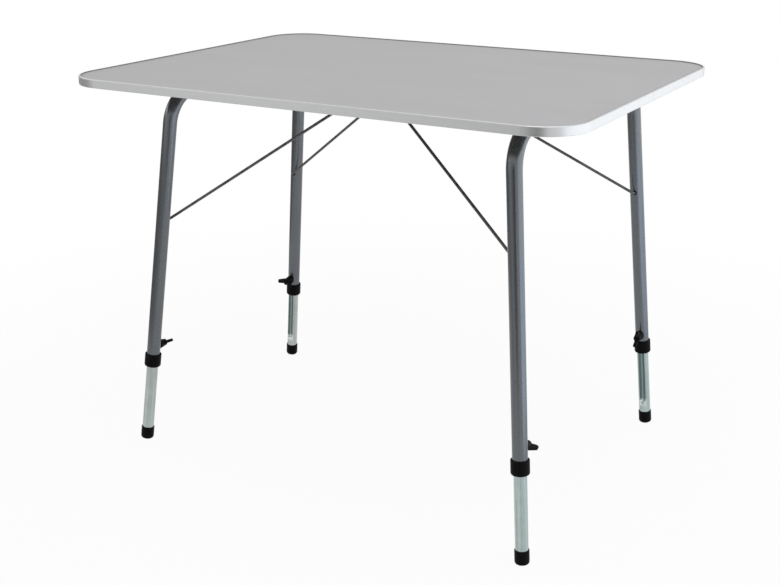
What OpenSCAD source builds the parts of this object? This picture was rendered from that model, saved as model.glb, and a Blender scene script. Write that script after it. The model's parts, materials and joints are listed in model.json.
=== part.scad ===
// Folding camping table: a laminated top in an aluminium edge strip, two bent tube leg
// frames that fold inwards, wire stays that hook into a catch, and telescopic feet.
// Millimetres. The origin lies on the floor under the middle of the top, and Z points up.

/* [Table top] */
// Length of the top, along X
top_length = 800; // [700:10:1000]
// Width of the top, along Y
top_width = 600; // [560:10:800]
// Height of the top above the floor
table_height = 613; // [560:1:680]
// Radius of the corners of the top
corner_r = 65; // [40:1:110]
// Thickness of the board
board_t = 10; // [8:0.5:14]

/* [Edge strip] */
// Thickness of the strip's outer wall
strip_wall = 1.5; // [1:0.1:2.5]
// Thickness of the lip that stands on the laminate
lip_t = 1.3; // [0.8:0.1:1.6]
// Width of the lip
lip_w = 2.8; // [2:0.1:6]
// Thickness of the flange under the board
flange_t = 1.2; // [1:0.1:2.5]
// Width of the flange under the board
flange_w = 9; // [6:0.5:14]
// Radius that rounds the strip's outer edges
strip_edge_r = 0.9; // [0.5:0.1:1.4]
// Width of the butt joint between the strip's two ends
seam_w = 0.4; // [0.2:0.1:1]
// Distance of the butt joint from the middle of the right-hand side
seam_y = 0; // [-160:1:160]
// Gap between the board's edge and the strip
board_gap = 0.15; // [0.05:0.05:0.3]
// Distance of the strip's pin from the middle of the right-hand side
pin_y = -158; // [-160:1:160]
// Diameter of the pin's head
pin_head_d = 3.2; // [2.5:0.1:4]
// Diameter of the pin's shank
pin_d = 1.6; // [1.2:0.1:2]
// Length of the pin
pin_l = 12; // [6:0.5:16]

/* [Leg tubes] */
// Outer diameter of the bent leg tubes
tube_d = 21.5; // [20:0.1:24]
// Wall thickness of the bent leg tubes
tube_wall = 1.2; // [1:0.1:1.6]
// Radius of the tubes' bends, on the centre line
bend_r = 50; // [40:1:60]
// Height of the left crossbar's centre below the top
left_drop = 35; // [33:0.5:44]
// Height of the right crossbar's centre below the top
right_drop = 29; // [28:0.5:40]
// Distance of the left crossbar from the left end of the top
left_hinge_inset = 103.9; // [90:0.1:120]
// Distance of the right crossbar from the right end of the top
right_hinge_inset = 105.5; // [90:0.1:120]
// Half the width of the left frame at its crossbar
left_half_w = 173; // [160:0.5:180]
// Half the width of the right frame at its crossbar
right_half_w = 224.7; // [215:0.1:235]
// Outward lean of the left frame
left_lean = 6.37; // [3:0.01:7]
// Outward lean of the right frame
right_lean = 4.89; // [3:0.01:7]
// Outward slant of the left legs within their frame
left_slant = 4.09; // [2:0.01:5]
// Outward slant of the right legs within their frame
right_slant = 3.48; // [2:0.01:5]
// Distance of the tubes' lower ends from the floor, along the leg
tube_end = 137; // [125:1:150]

/* [Telescopic feet] */
// Outer diameter of the inner legs
inner_d = 18.5; // [17:0.1:18.5]
// Wall thickness of the inner legs
inner_wall = 1.2; // [1:0.1:1.5]
// Length of inner leg inside the tube
inner_hidden = 128; // [110:1:130]
// Distance that a foot can be drawn out
foot_travel = 85; // [40:1:90]
// Radius of the long pressed groove
groove_r = 8; // [6:0.1:9]
// Depth of the long pressed groove
groove_depth = 2.6; // [1.5:0.1:3]
// Distance of the groove's lower end from the floor, along the leg
groove_end = 43; // [38:1:50]
// Outer diameter of the foot caps
cap_d = 20.9; // [20.5:0.1:24]
// Height of the foot caps
cap_h = 21.5; // [18:0.5:30]
// Radius that rounds the foot caps' lower edge
cap_round = 4.5; // [2:0.1:6]
// Radius that rounds the foot caps' upper edge
cap_top_r = 0.8; // [0.4:0.1:1]
// Thickness of the foot caps' floor
cap_floor = 5; // [3:0.5:8]

/* [Collars and clamps] */
// Outer diameter of the collars
collar_d = 26.4; // [26:0.1:30]
// Height of the collars
collar_h = 22; // [20:0.5:32]
// Length of collar below the end of the tube
collar_lip = 6; // [4:0.5:10]
// Radius that rounds the collars' lower edge
collar_round = 3.2; // [1.5:0.1:3.4]
// Radius that rounds the collars' upper edge
collar_top_r = 1.2; // [0.5:0.1:2]
// Distance of the clamp screws from the floor, along the leg
clamp_s = 165; // [162:0.5:178]
// Diameter of the clamp screws
clamp_d = 6; // [5:0.1:6]
// Diameter of the clamp screws' tips, which run in the grooves
clamp_tip_d = 4.4; // [3.5:0.1:4.6]
// Diameter of the nuts welded to the tubes
nut_d = 10; // [9:0.1:11]
// Height of the nuts above the tubes
nut_h = 4; // [3:0.1:5]
// Length of a clamp screw's shank inside the bore of its tube
shank_in = 0.2; // [0.1:0.1:0.4]
// Diameter of the wing knobs' hubs
hub_d = 15; // [14:0.1:17]
// Length of the wing knobs' hubs
hub_l = 17; // [13:0.5:18]
// Difference between the two diameters of a hub
hub_taper = 4; // [1:0.1:5]
// Radius that rounds the hubs' outer ends
hub_round = 1.6; // [0.5:0.1:2]
// Thickness of the hubs' closed ends
hub_cap_t = 3; // [2:0.5:5]
// Distance of the hubs from the tubes
hub_stand = 0.8; // [0.6:0.1:1.5]
// Gap between a nut and the bottom of the pocket over it
nut_gap = 0.5; // [0.3:0.1:1]
// Distance between the wing tips of a knob
wing_span = 29; // [26:0.5:36]
// Distance that the wings reach past the end of the hub
wing_rise = 5.5; // [4:0.5:10]
// Distance of the wings from the inner end of the hub
wing_low = 3; // [2:0.1:5]
// Thickness of the wings
wing_t = 4.4; // [3:0.1:6]
// Radius of the wing tips
wing_tip_r = 3.8; // [2:0.1:4.5]

/* [Wire stays] */
// Diameter of the stay wire
wire_d = 4.4; // [3.5:0.1:4.4]
// Inside radius of the bends in the wire
wire_bend = 4; // [3:0.5:8]
// Distance of the left stay's pivot below its crossbar, along the leg
left_stay_s = 203.9; // [180:0.1:215]
// Distance of the right stay's pivot below its crossbar, along the leg
right_stay_s = 175.4; // [165:0.1:200]
// Length of a stay's end inside the bore of its leg
stay_end = 3; // [2:0.1:5]
// Gap between a leg and the bend beside it
stay_gap = 0.5; // [0.5:0.1:3]
// Gap around a stay's end in the wider hole of its leg
stay_hole_gap = 1.5; // [0.1:0.1:1.8]
// Half the length of the left stay's crosspiece
left_cross = 46; // [46:1:60]
// Half the length of the right stay's crosspiece
right_cross = 70; // [56:1:80]

/* [Catch] */
// Distance between the two crosspieces in the catch
catch_pitch = 18; // [18:0.5:26]
// Place of the middle of the catch along X
catch_x = 3; // [-4:0.5:8]
// Length of the catch along Y
catch_l = 60; // [50:1:61]
// Thickness of the catch's sheet
catch_t = 1.5; // [1:0.1:2]
// Distance that a lip reaches under its wire
catch_lip = 1.8; // [1:0.1:2]
// Distance of the catch's screws from its ends
catch_hole_inset = 14; // [12:0.5:16]

/* [Crossbar saddles] */
// Distance of the left saddles from the middle of the table
left_saddle_y = 92; // [60:1:100]
// Distance of the right saddles from the middle of the table
right_saddle_y = 140; // [60:1:150]
// Length of a saddle across the tube
saddle_l = 52; // [50:1:60]
// Width of a saddle along the tube
saddle_w = 22; // [16:1:30]
// Size of the bevels on the saddles' upper edges
saddle_bevel = 4; // [1:0.5:6]
// Distance of the straps' screws from the tube
strap_hole_gap = 8; // [7:0.1:9]
// Distance of the straps' ends from the saddles' ends
strap_inset = 3.5; // [1:0.1:4]
// Thickness of the steel straps
strap_t = 1.5; // [1:0.1:2]
// Width of the steel straps
strap_w = 18; // [12:1:20]
// Diameter of the screws
screw_d = 4; // [3:0.1:5]
// Diameter of the screws' heads
screw_head_d = 7.6; // [7:0.1:8]
// Height of the screws' heads
screw_head_h = 2; // [1.5:0.1:2.5]
// Radius of the domes on the screws' heads
screw_dome_r = 5.2; // [5:0.1:8]
// Length of screw in the board
screw_bite = 7.5; // [5:0.5:7.5]
// Depth of hole past the end of a screw
hole_spare = 0.5; // [0.2:0.1:0.5]

/* [Clearances] */
// Radial clearance of a part that turns in another
running_gap = 0.05; // [0.02:0.01:0.1]
// Clearance of a part that slides or moves past another
moving_gap = 0.3; // [0.3:0.05:0.6]
// Clearance between two parts that are pushed together
seat_gap = 0.05; // [0.02:0.01:0.1]

/* [Hidden] */
$fn = 64;

// A side is -1 for the left frame and 1 for the right one; a row is -1 for the front
// legs and 1 for the rear ones.
LEFT = -1;
RIGHT = 1;
FRONT = -1;
REAR = 1;
far = 1000;
over = 1;
corner_fn = 128;
tube_r = tube_d / 2;
bore_r = tube_r - tube_wall;
inner_r = inner_d / 2;
pin_head_t = strip_wall / 2;
wire_r = wire_d / 2;
cap_r = cap_d / 2;
collar_r = collar_d / 2;

// Levels of the top
board_top = table_height - lip_t;
under = board_top - board_t;
strip_h = lip_t + board_t + flange_t;

// The sizes of each frame, by its side
function drop(side) = side == LEFT ? left_drop : right_drop;
function hinge_x(side) =
    side * (top_length / 2 - (side == LEFT ? left_hinge_inset : right_hinge_inset));
function hinge_z(side) = table_height - drop(side);
function half_w(side) = side == LEFT ? left_half_w : right_half_w;
function lean(side) = side == LEFT ? left_lean : right_lean;
function slant(side) = side == LEFT ? left_slant : right_slant;
function stay_s(side) = side == LEFT ? left_stay_s : right_stay_s;
function cross_half(side) = side == LEFT ? left_cross : right_cross;
function saddle_y(side) = side == LEFT ? left_saddle_y : right_saddle_y;

// Cosine and sine of a leg's angle from upright
function tilt_cos(side) = cos(lean(side)) * cos(slant(side));
function tilt_sin(side) = sqrt(1 - pow(tilt_cos(side), 2));
// Height of the middle of a foot's sole, when its rounded edge stands on the floor
function sole_z(side) = (cap_r - cap_round) * tilt_sin(side) + cap_round * (1 - tilt_cos(side));
// Length of a leg's centre line from the crossbar to the sole
function leg_s(side) = (hinge_z(side) - sole_z(side)) / tilt_cos(side);

// Places a child on a leg, with the leg's centre line along Z, the crossbar's level at
// zero, the foot below and the inner side of the frame towards +Y
module on_leg(side, row) {
    translate([hinge_x(side), 0, hinge_z(side)])
        rotate([0, side * -lean(side), 0])
            translate([0, row * half_w(side), 0])
                rotate([row * slant(side), 0, 0])
                    rotate([0, 0, row == FRONT ? 0 : 180])
                        children();
}

// The same, with the zero level at a distance from the sole
module above_foot(side, row, s) {
    on_leg(side, row)
        translate([0, 0, s - leg_s(side)])
            children();
}

// Turns a child so that its Z runs out of the inner side of a leg
module out_of_leg() {
    rotate([-90, 0, 0]) children();
}

// Unit vector and turn between the legs of a path in a plane
function unit(v) = v / norm(v);
function turn(a, b, c) = acos(min(1, max(-1, unit(b - a) * unit(c - b))));
function side_of(a, b, c) = sign(cross(b - a, c - b));
// Length that a bend takes from each of the two straights beside it
function cut(p, i, bend) =
    i == 0 || i == len(p) - 1 ? 0 : bend * tan(turn(p[i - 1], p[i], p[i + 1]) / 2);

// Round bar along a path of points in the XY plane, with equal bends at its corners. The
// bends are a hair thinner than the straights, and their ends lie inside them.
bend_part = 0.986;
bend_bite = 0.4;
module bent_bar(p, r, bend) {
    for (i = [0 : len(p) - 2]) {
        d = unit(p[i + 1] - p[i]);
        start = p[i] + d * cut(p, i, bend);
        length = norm(p[i + 1] - p[i]) - cut(p, i, bend) - cut(p, i + 1, bend);
        translate([start[0], start[1], 0])
            rotate([0, 0, atan2(d[1], d[0])])
                rotate([0, 90, 0])
                    cylinder(r = r, h = length);
    }
    for (i = [1 : len(p) - 2]) {
        d = unit(p[i] - p[i - 1]);
        s = side_of(p[i - 1], p[i], p[i + 1]);
        start = p[i] - d * cut(p, i, bend);
        bite = bend_bite / bend * 180 / PI;
        translate([start[0], start[1], 0])
            rotate([0, 0, atan2(d[1], d[0])])
                translate([0, s * bend, 0])
                    mirror([0, s < 0 ? 1 : 0, 0])
                        rotate([0, 0, -90 - bite])
                            rotate_extrude(angle = turn(p[i - 1], p[i], p[i + 1]) + 2 * bite)
                                translate([bend, 0])
                                    circle(r = r * bend_part);
    }
}

// Rounded rectangle
module rounded_plate(length, width, r, h) {
    linear_extrude(h) {
        square([length - 2 * r, width], center = true);
        square([length, width - 2 * r], center = true);
        for (x = [-1, 1], y = [-1, 1])
            translate([x * (length / 2 - r), y * (width / 2 - r)])
                circle(r = r, $fn = corner_fn);
    }
}

// Pan-head screw that hangs from z = 0, its shank upwards
module pan_screw(length) {
    cylinder(d = screw_d, h = length);
    translate([0, 0, -screw_head_h])
        intersection() {
            cylinder(d = screw_head_d, h = screw_head_h);
            translate([0, 0, screw_dome_r])
                sphere(r = screw_dome_r);
        }
}

// Cutter for a screw's hole, through a thickness above z = 0
module screw_hole(depth) {
    translate([0, 0, -over])
        cylinder(r = screw_d / 2 + seat_gap, h = depth + over);
}

// Places of the screws under one strap, and under the catch
strap_hole_x = tube_r + strap_hole_gap;
catch_hole_y = catch_l / 2 - catch_hole_inset;
module at_strap_screws(side, row) {
    for (x = [-1, 1])
        translate([hinge_x(side) + x * strap_hole_x, row * saddle_y(side), hinge_z(side)])
            children();
}

module at_catch_screws() {
    for (y = [-1, 1])
        translate([catch_x, y * catch_hole_y, under - catch_t])
            children();
}

module table_board() {
    color([0.72, 0.72, 0.73])
        difference() {
            translate([0, 0, under])
                rounded_plate(
                    top_length - 2 * (strip_wall + board_gap),
                    top_width - 2 * (strip_wall + board_gap),
                    corner_r - strip_wall - board_gap,
                    board_t
                );
            for (side = [LEFT, RIGHT], row = [FRONT, REAR])
                at_strap_screws(side, row)
                    translate([0, 0, under - hinge_z(side)])
                        screw_hole(screw_bite + hole_spare);
            at_catch_screws()
                translate([0, 0, catch_t])
                    screw_hole(screw_bite + hole_spare);
            at_strip_pin()
                pin(seat_gap);
        }
}

// Section of the strip, with its outer face on x = 0 and the table on the side of -X
module strip_section() {
    translate([0, table_height])
        difference() {
            union() {
                translate([-strip_wall, -strip_h + strip_edge_r])
                    square([strip_wall, strip_h - 2 * strip_edge_r]);
                for (y = [-strip_edge_r, strip_edge_r - strip_h])
                    translate([-strip_edge_r, y])
                        circle(r = strip_edge_r, $fn = 32);
                translate([-lip_w, -lip_t])
                    square([lip_w - strip_edge_r, lip_t]);
                translate([-flange_w, -strip_h])
                    square([flange_w - strip_edge_r, flange_t]);
            }
            translate([-far - strip_wall, -lip_t - board_t])
                square([far, board_t]);
        }
}

// The strip's section on one side, extruded along that side
module strip_side(reach, length) {
    translate([reach, length / 2, 0])
        rotate([90, 0, 0])
            linear_extrude(length)
                strip_section();
}

module edge_strip() {
    long = top_length - 2 * corner_r;
    wide = top_width - 2 * corner_r;
    color([0.78, 0.79, 0.8])
        difference() {
            union() {
                for (a = [0, 180])
                    rotate([0, 0, a])
                        strip_side(top_length / 2, wide);
                for (a = [90, 270])
                    rotate([0, 0, a])
                        strip_side(top_width / 2, long);
                for (x = [-1, 1], y = [-1, 1])
                    translate([x * long / 2, y * wide / 2, 0])
                        rotate([0, 0, x > 0 ? (y > 0 ? 0 : -90) : (y > 0 ? 90 : 180)])
                            rotate_extrude(angle = 90, $fn = corner_fn)
                                translate([corner_r, 0])
                                    strip_section();
            }
            translate([top_length / 2 - 2 * flange_w, seam_y - seam_w / 2, under - strip_h])
                cube([4 * flange_w, seam_w, 3 * strip_h]);
            at_strip_pin()
                pin(seat_gap);
        }
}

// Pin with a flush head, driven through the strip into the board, grown by a gap
module pin(gap) {
    translate([0, 0, -pin_head_t - gap])
        cylinder(r = pin_head_d / 2 + gap, h = pin_head_t + 2 * gap);
    translate([0, 0, -pin_l - gap])
        cylinder(r = pin_d / 2 + gap, h = pin_l);
}

module at_strip_pin() {
    translate([top_length / 2, pin_y, under + board_t / 2])
        rotate([0, 90, 0])
            children();
}

module strip_pin() {
    color([0.8, 0.8, 0.8])
        at_strip_pin()
            pin(0);
}

// Plastic saddle between the board and a crossbar
module saddle(side, row) {
    h = under - hinge_z(side);
    half = saddle_l / 2;
    color([0.09, 0.09, 0.1])
        translate([hinge_x(side), row * saddle_y(side), hinge_z(side)])
            difference() {
                rotate([90, 0, 0])
                    translate([0, 0, -saddle_w / 2])
                        linear_extrude(saddle_w)
                            polygon([
                                [-half, 0], [half, 0], [half, h - saddle_bevel],
                                [half - saddle_bevel, h], [saddle_bevel - half, h],
                                [-half, h - saddle_bevel]
                            ]);
                rotate([90, 0, 0])
                    cylinder(r = tube_r + running_gap, h = 2 * saddle_w, center = true);
                for (x = [-1, 1])
                    translate([x * strap_hole_x, 0, 0])
                        screw_hole(h + over);
            }
}

// Steel strap that holds a crossbar up in its saddle
module strap(side, row) {
    r = tube_r + running_gap;
    color([0.62, 0.64, 0.66])
        translate([hinge_x(side), row * saddle_y(side), hinge_z(side)])
            rotate([90, 0, 0])
                difference() {
                    translate([0, 0, -strap_w / 2])
                        linear_extrude(strap_w)
                            difference() {
                                union() {
                                    translate([strap_inset - saddle_l / 2, -strap_t])
                                        square([saddle_l - 2 * strap_inset, strap_t]);
                                    circle(r = r + strap_t);
                                }
                                circle(r = r);
                                translate([-far / 2, 0])
                                    square([far, far]);
                            }
                    for (x = [-1, 1])
                        translate([x * strap_hole_x, -strap_t, 0])
                            rotate([-90, 0, 0])
                                screw_hole(strap_t + over);
                }
}

module strap_screws() {
    color([0.7, 0.71, 0.72])
        for (side = [LEFT, RIGHT], row = [FRONT, REAR])
            at_strap_screws(side, row)
                translate([0, 0, -strap_t])
                    pan_screw(strap_t + under - hinge_z(side) + screw_bite);
}

// Centres of the crosspieces in the catch
wire_z = under - catch_t - moving_gap - wire_r;
function wire_x(side) = catch_x + side * catch_pitch / 2;

// Pressed channel whose two lips hold the crosspieces of the stays
module stay_catch() {
    inside_w = catch_pitch / 2 + wire_r + moving_gap;
    outside_w = inside_w + catch_t;
    depth = 2 * catch_t + wire_d + 2 * moving_gap;
    lip_x = inside_w - catch_lip;
    right_side = [
        [outside_w, 0], [outside_w, -depth], [lip_x, -depth],
        [lip_x, catch_t - depth], [inside_w, catch_t - depth], [inside_w, -catch_t]
    ];
    left_side = [for (i = [len(right_side) - 1 : -1 : 0]) [-right_side[i][0], right_side[i][1]]];
    color([0.62, 0.64, 0.66])
        difference() {
            translate([catch_x, 0, under])
                rotate([90, 0, 0])
                    translate([0, 0, -catch_l / 2])
                        linear_extrude(catch_l)
                            polygon(concat(right_side, left_side));
            at_catch_screws()
                screw_hole(catch_t + over);
        }
}

module catch_screws() {
    color([0.7, 0.71, 0.72])
        at_catch_screws()
            pan_screw(catch_t + screw_bite);
}

// Path of a frame's centre line in its own plane, X across the table and Y upwards
function frame_path(side, s) = let(
    h = half_w(side),
    foot = s * cos(slant(side)),
    out = s * sin(slant(side))
) [[-h - out, -foot], [-h, 0], [h, 0], [h + out, -foot]];

// Round bar or bore with a frame's shape, down to a distance from the sole
module frame_bar(side, r, end) {
    translate([hinge_x(side), 0, hinge_z(side)])
        rotate([0, side * -lean(side), 0])
            rotate([90, 0, 90])
                bent_bar(frame_path(side, leg_s(side) - end), r, bend_r);
}

// Bent tube with two legs, drilled for the stay's ends and the clamp screws
module leg_frame(side) {
    color([0.42, 0.46, 0.52])
        difference() {
            frame_bar(side, tube_r, tube_end);
            frame_bar(side, bore_r, tube_end - over);
            for (row = [FRONT, REAR]) {
                at_stay_pivot(side, row)
                    cylinder(r = wire_r + stay_hole_gap, h = 2 * tube_r);
                above_foot(side, row, clamp_s)
                    out_of_leg()
                        cylinder(r = clamp_d / 2 + moving_gap, h = 2 * tube_r);
            }
        }
}

// Height, and distance from the middle, of the axis that a stay turns about
function stay_down(side) = stay_s(side) * cos(slant(side));
function pivot_x(side) = hinge_x(side) + side * stay_down(side) * sin(lean(side));
function pivot_z(side) = hinge_z(side) - stay_down(side) * cos(lean(side));
function pivot_y(side) = half_w(side) + stay_s(side) * sin(slant(side));

// Places a child on a stay's pivot, with Z towards the middle of the table
module at_stay_pivot(side, row) {
    translate([pivot_x(side), row * pivot_y(side), pivot_z(side)])
        rotate([row * 90, 0, 0])
            children();
}

// Wire stay: two rods that turn in the legs and meet in a crosspiece in the catch
module stay(side) {
    run = wire_x(side) - pivot_x(side);
    rise = wire_z - pivot_z(side);
    length = norm([run, rise]);
    stub = pivot_y(side) - bore_r + stay_end;
    out = pivot_y(side) - tube_r - stay_gap - wire_bend;
    bend = wire_bend + wire_r;
    path = [
        [0, -stub], [0, -out], [length, -cross_half(side)],
        [length, cross_half(side)], [0, out], [0, stub]
    ];
    color([0.3, 0.31, 0.32])
        translate([pivot_x(side), 0, pivot_z(side)])
            rotate([0, -atan2(rise, run), 0])
                bent_bar(path, wire_r, bend);
}

// Plastic collar on the end of a tube, which guides the inner leg
module collar(side, row) {
    seat_r = tube_r + seat_gap;
    slide_r = inner_r + moving_gap;
    color([0.06, 0.06, 0.07])
        above_foot(side, row, tube_end - collar_lip)
            rotate_extrude()
                difference() {
                    union() {
                        translate([0, collar_round])
                            square([collar_r, collar_h - collar_round - collar_top_r]);
                        square([collar_r - collar_round, collar_h]);
                        translate([0, collar_h - 2 * collar_top_r])
                            square([collar_r - collar_top_r, 2 * collar_top_r]);
                        translate([collar_r - collar_round, collar_round])
                            circle(r = collar_round, $fn = 48);
                        translate([collar_r - collar_top_r, collar_h - collar_top_r])
                            circle(r = collar_top_r, $fn = 32);
                    }
                    translate([-far, -far])
                        square([far + slide_r, 2 * far]);
                    translate([0, collar_lip])
                        square([seat_r, far]);
                }
}

// Nut welded to the inner side of a leg
module clamp_nut(side, row) {
    color([0.42, 0.46, 0.52])
        above_foot(side, row, clamp_s)
            difference() {
                out_of_leg()
                    cylinder(d = nut_d, h = tube_r + nut_h);
                cylinder(r = tube_r, h = 2 * nut_d, center = true);
                out_of_leg()
                    cylinder(r = clamp_d / 2 + running_gap, h = 2 * tube_r);
            }
}

// Distances from the leg's centre line, out along a clamp screw
groove_y = inner_r + groove_r - groove_depth;
tip_y = groove_y - sqrt(groove_r * groove_r - clamp_tip_d * clamp_tip_d / 4) + moving_gap;
hub_y = tube_r + hub_stand;
shank_y = bore_r - shank_in;
shank_l = hub_y + hub_l - hub_cap_t - shank_y;

// Threaded stud moulded into a knob, whose tip runs in the inner leg's groove
module clamp_screw(side, row) {
    color([0.7, 0.71, 0.72])
        above_foot(side, row, clamp_s)
            out_of_leg() {
                translate([0, 0, tip_y])
                    cylinder(d = clamp_tip_d, h = shank_y - tip_y);
                translate([0, 0, shank_y])
                    cylinder(d = clamp_d, h = shank_l);
            }
}

// How far each knob is turned from across the leg
function knob_turn(side, row) =
    side == LEFT ? (row == FRONT ? -28 : -4) : (row == FRONT ? 26 : 78);

// Wing knob with a skirt over the nut and two wings swept away from the leg
module wing_knob(side, row) {
    color([0.06, 0.06, 0.07])
        above_foot(side, row, clamp_s)
            out_of_leg()
                rotate([0, 0, knob_turn(side, row)])
                    translate([0, 0, hub_y])
                        difference() {
                            union() {
                                hub();
                                wings();
                            }
                            translate([0, 0, -over])
                                cylinder(
                                    r = nut_d / 2 + moving_gap,
                                    h = over + nut_h + nut_gap - hub_stand
                                );
                            translate([0, 0, -over])
                                cylinder(
                                    r = clamp_d / 2 + seat_gap,
                                    h = over + hub_l - hub_cap_t + seat_gap
                                );
                        }
}

// Tapered hub with a rounded outer end
module hub() {
    end_r = (hub_d - hub_taper) / 2;
    rotate_extrude()
        union() {
            polygon([
                [0, 0], [hub_d / 2, 0], [end_r, hub_l - hub_round],
                [end_r - hub_round, hub_l], [0, hub_l]
            ]);
            intersection() {
                translate([end_r - hub_round, hub_l - hub_round])
                    circle(r = hub_round, $fn = 32);
                square([hub_d, hub_l]);
            }
        }
}

// Place where a line from a point touches a circle, on one side of it
function touch(p, c, r, s) = let(
    v = unit(p - c),
    a = s * acos(r / norm(p - c))
) c + r * [v[0] * cos(a) - v[1] * sin(a), v[0] * sin(a) + v[1] * cos(a)];

// Both wings as one plate through the hub
module wings() {
    tip = [wing_span / 2 - wing_tip_r, hub_l + wing_rise - wing_tip_r];
    low = [hub_d / 2 - hub_round, wing_low];
    high = [0, hub_l - hub_round];
    rotate([90, 0, 0])
        linear_extrude(wing_t, center = true)
            for (m = [0, 1])
                mirror([m, 0]) {
                    translate(tip)
                        circle(r = wing_tip_r, $fn = 48);
                    polygon([
                        [-hub_round, wing_low], low, touch(low, tip, wing_tip_r, 1), tip,
                        touch(high, tip, wing_tip_r, -1), high, [-hub_round, high[1]]
                    ]);
                }
}

// Groove cutter with round ends
groove_top = clamp_s + foot_travel + clamp_tip_d / 2 + moving_gap;
module groove(r) {
    translate([0, groove_y, groove_end])
        cylinder(r = r, h = groove_top - groove_end);
    for (s = [groove_end, groove_top])
        translate([0, groove_y, s])
            sphere(r = r);
}

// Telescopic inner leg with its pressed groove, whose wall stands into the bore
module inner_leg(side, row) {
    length = tube_end + inner_hidden - cap_floor;
    color([0.66, 0.7, 0.69])
        above_foot(side, row, cap_floor)
            difference() {
                cylinder(r = inner_r, h = length);
                translate([0, 0, -cap_floor])
                    groove(groove_r);
                difference() {
                    translate([0, 0, -over])
                        cylinder(r = inner_r - inner_wall, h = length + 2 * over);
                    translate([0, 0, -cap_floor])
                        groove(groove_r + inner_wall);
                }
            }
}

// Moulded foot cap with a rounded lower edge
module foot_cap(side, row) {
    color([0.06, 0.06, 0.07])
        above_foot(side, row, 0)
            rotate_extrude()
                difference() {
                    union() {
                        translate([0, cap_round])
                            square([cap_r, cap_h - cap_round - cap_top_r]);
                        square([cap_r - cap_round, cap_h]);
                        translate([cap_r - cap_round, cap_round])
                            circle(r = cap_round, $fn = 48);
                        translate([0, cap_h - 2 * cap_top_r])
                            square([cap_r - cap_top_r, 2 * cap_top_r]);
                        translate([cap_r - cap_top_r, cap_h - cap_top_r])
                            circle(r = cap_top_r, $fn = 32);
                    }
                    translate([-far, -far])
                        square([far, 2 * far]);
                    translate([0, cap_floor])
                        square([inner_r + seat_gap, far]);
                }
}

table_board();
edge_strip();
strip_pin();
stay_catch();
catch_screws();
strap_screws();
saddle(LEFT, FRONT);  // saddle_left_front
saddle(LEFT, REAR);  // saddle_left_rear
saddle(RIGHT, FRONT);  // saddle_right_front
saddle(RIGHT, REAR);  // saddle_right_rear
strap(LEFT, FRONT);  // strap_left_front
strap(LEFT, REAR);  // strap_left_rear
strap(RIGHT, FRONT);  // strap_right_front
strap(RIGHT, REAR);  // strap_right_rear
leg_frame(LEFT);  // left_leg_frame
leg_frame(RIGHT);  // right_leg_frame
stay(LEFT);  // left_stay
stay(RIGHT);  // right_stay
collar(LEFT, FRONT);  // collar_left_front
collar(LEFT, REAR);  // collar_left_rear
collar(RIGHT, FRONT);  // collar_right_front
collar(RIGHT, REAR);  // collar_right_rear
clamp_nut(LEFT, FRONT);  // clamp_nut_left_front
clamp_nut(LEFT, REAR);  // clamp_nut_left_rear
clamp_nut(RIGHT, FRONT);  // clamp_nut_right_front
clamp_nut(RIGHT, REAR);  // clamp_nut_right_rear
clamp_screw(LEFT, FRONT);  // clamp_screw_left_front
clamp_screw(LEFT, REAR);  // clamp_screw_left_rear
clamp_screw(RIGHT, FRONT);  // clamp_screw_right_front
clamp_screw(RIGHT, REAR);  // clamp_screw_right_rear
wing_knob(LEFT, FRONT);  // wing_knob_left_front
wing_knob(LEFT, REAR);  // wing_knob_left_rear
wing_knob(RIGHT, FRONT);  // wing_knob_right_front
wing_knob(RIGHT, REAR);  // wing_knob_right_rear
inner_leg(LEFT, FRONT);  // inner_leg_left_front
inner_leg(LEFT, REAR);  // inner_leg_left_rear
inner_leg(RIGHT, FRONT);  // inner_leg_right_front
inner_leg(RIGHT, REAR);  // inner_leg_right_rear
foot_cap(LEFT, FRONT);  // foot_cap_left_front
foot_cap(LEFT, REAR);  // foot_cap_left_rear
foot_cap(RIGHT, FRONT);  // foot_cap_right_front
foot_cap(RIGHT, REAR);  // foot_cap_right_rear
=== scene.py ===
"""Looks of the folding camping table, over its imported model.

Every length is in metres. The origin lies on the floor under the middle of the top, +X runs
along the top towards the wider leg frame, +Y towards the rear legs, and +Z upwards.
"""

import json
import logging
import math
from dataclasses import dataclass
from enum import Enum
from typing import ClassVar

import bmesh
import bpy
import numpy as np
from mathutils import Matrix, Vector


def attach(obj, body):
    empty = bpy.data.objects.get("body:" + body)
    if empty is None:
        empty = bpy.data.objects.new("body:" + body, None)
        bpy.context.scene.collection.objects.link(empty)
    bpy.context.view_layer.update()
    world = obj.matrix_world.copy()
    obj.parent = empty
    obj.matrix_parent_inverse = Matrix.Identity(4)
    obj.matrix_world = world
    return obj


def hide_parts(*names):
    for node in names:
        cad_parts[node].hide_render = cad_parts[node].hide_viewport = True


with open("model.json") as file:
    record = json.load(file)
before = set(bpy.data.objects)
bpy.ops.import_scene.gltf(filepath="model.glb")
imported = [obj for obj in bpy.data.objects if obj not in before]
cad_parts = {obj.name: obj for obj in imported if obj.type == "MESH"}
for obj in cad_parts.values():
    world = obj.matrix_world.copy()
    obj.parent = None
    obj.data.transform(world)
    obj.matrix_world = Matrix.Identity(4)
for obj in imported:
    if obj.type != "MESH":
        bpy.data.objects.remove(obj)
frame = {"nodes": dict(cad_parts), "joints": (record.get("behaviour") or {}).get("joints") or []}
LOG = logging.getLogger("camping_table")
JOINTS = {joint["name"]: joint for joint in frame["joints"]}
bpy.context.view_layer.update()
WELD_GAP = 0.00001
BEVEL_SEGMENTS = 2
SHARP_ANGLE = 35.0

Pair = tuple[float, float]
Triple = tuple[float, float, float]


class Side(Enum):
    """The two leg frames, by the sign of X."""

    LEFT = -1
    RIGHT = 1

    @property
    def word(self) -> str:
        """The side as it stands in the names of pieces."""
        return self.name.lower()


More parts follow.
